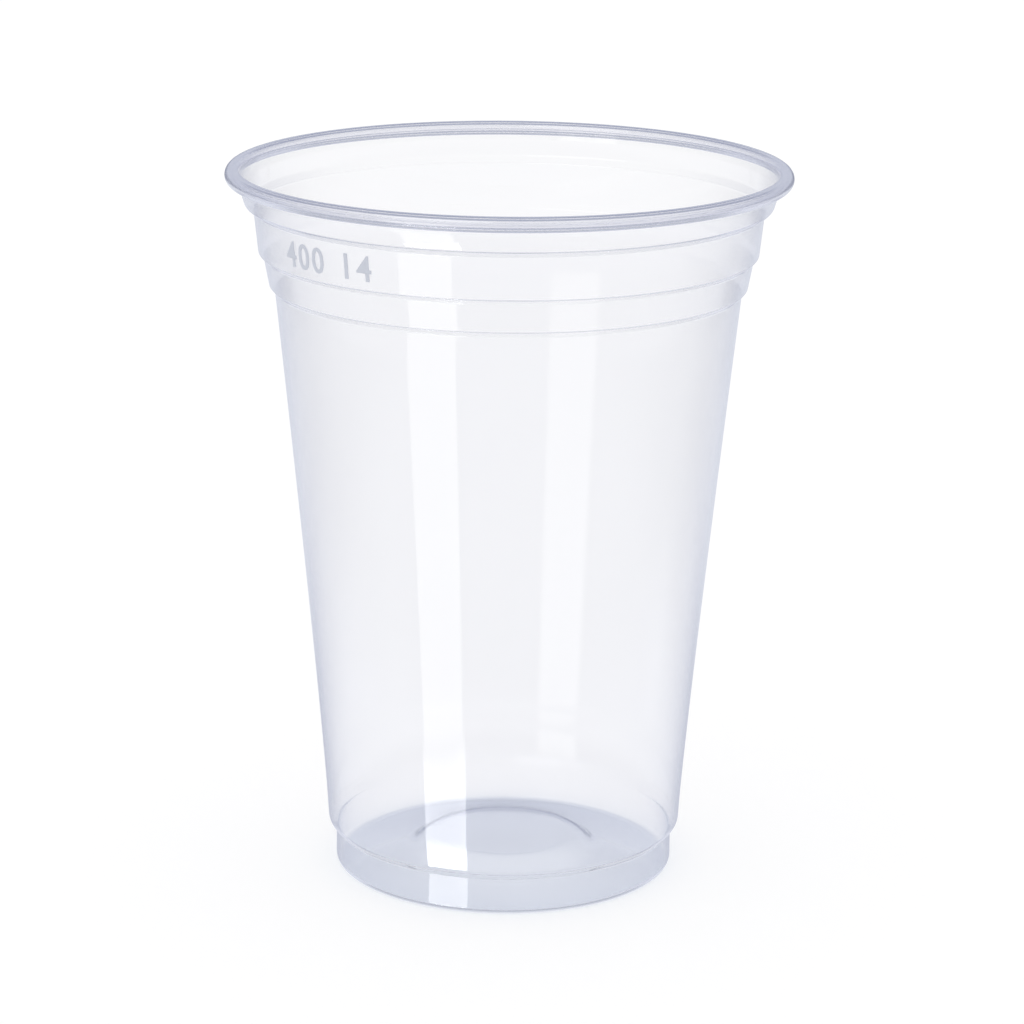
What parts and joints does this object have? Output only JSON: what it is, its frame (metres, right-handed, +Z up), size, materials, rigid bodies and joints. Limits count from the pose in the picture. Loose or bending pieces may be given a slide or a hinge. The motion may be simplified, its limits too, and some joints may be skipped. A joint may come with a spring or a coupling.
{
  "type": "disposable cup",
  "caption": "Clear disposable drinking cup, drawn from one plastic sheet, with a rolled rim, stepped stacking bands, a tapered wall and a pushed-up base.",
  "frame": {"origin": "centre of the standing ring, on the table", "axes": "+Z up along the cup's axis, from the foot to the rolled rim; the cup is the same all round"},
  "size_m": [0.095, 0.095, 0.1222],
  "materials": {
    "clear_pp": "clear thermoformed polypropylene, glossy, with a faint cool haze"
  },
  "bodies": {
    "root": {"cup": "clear_pp"}
  },
  "joints": []
}
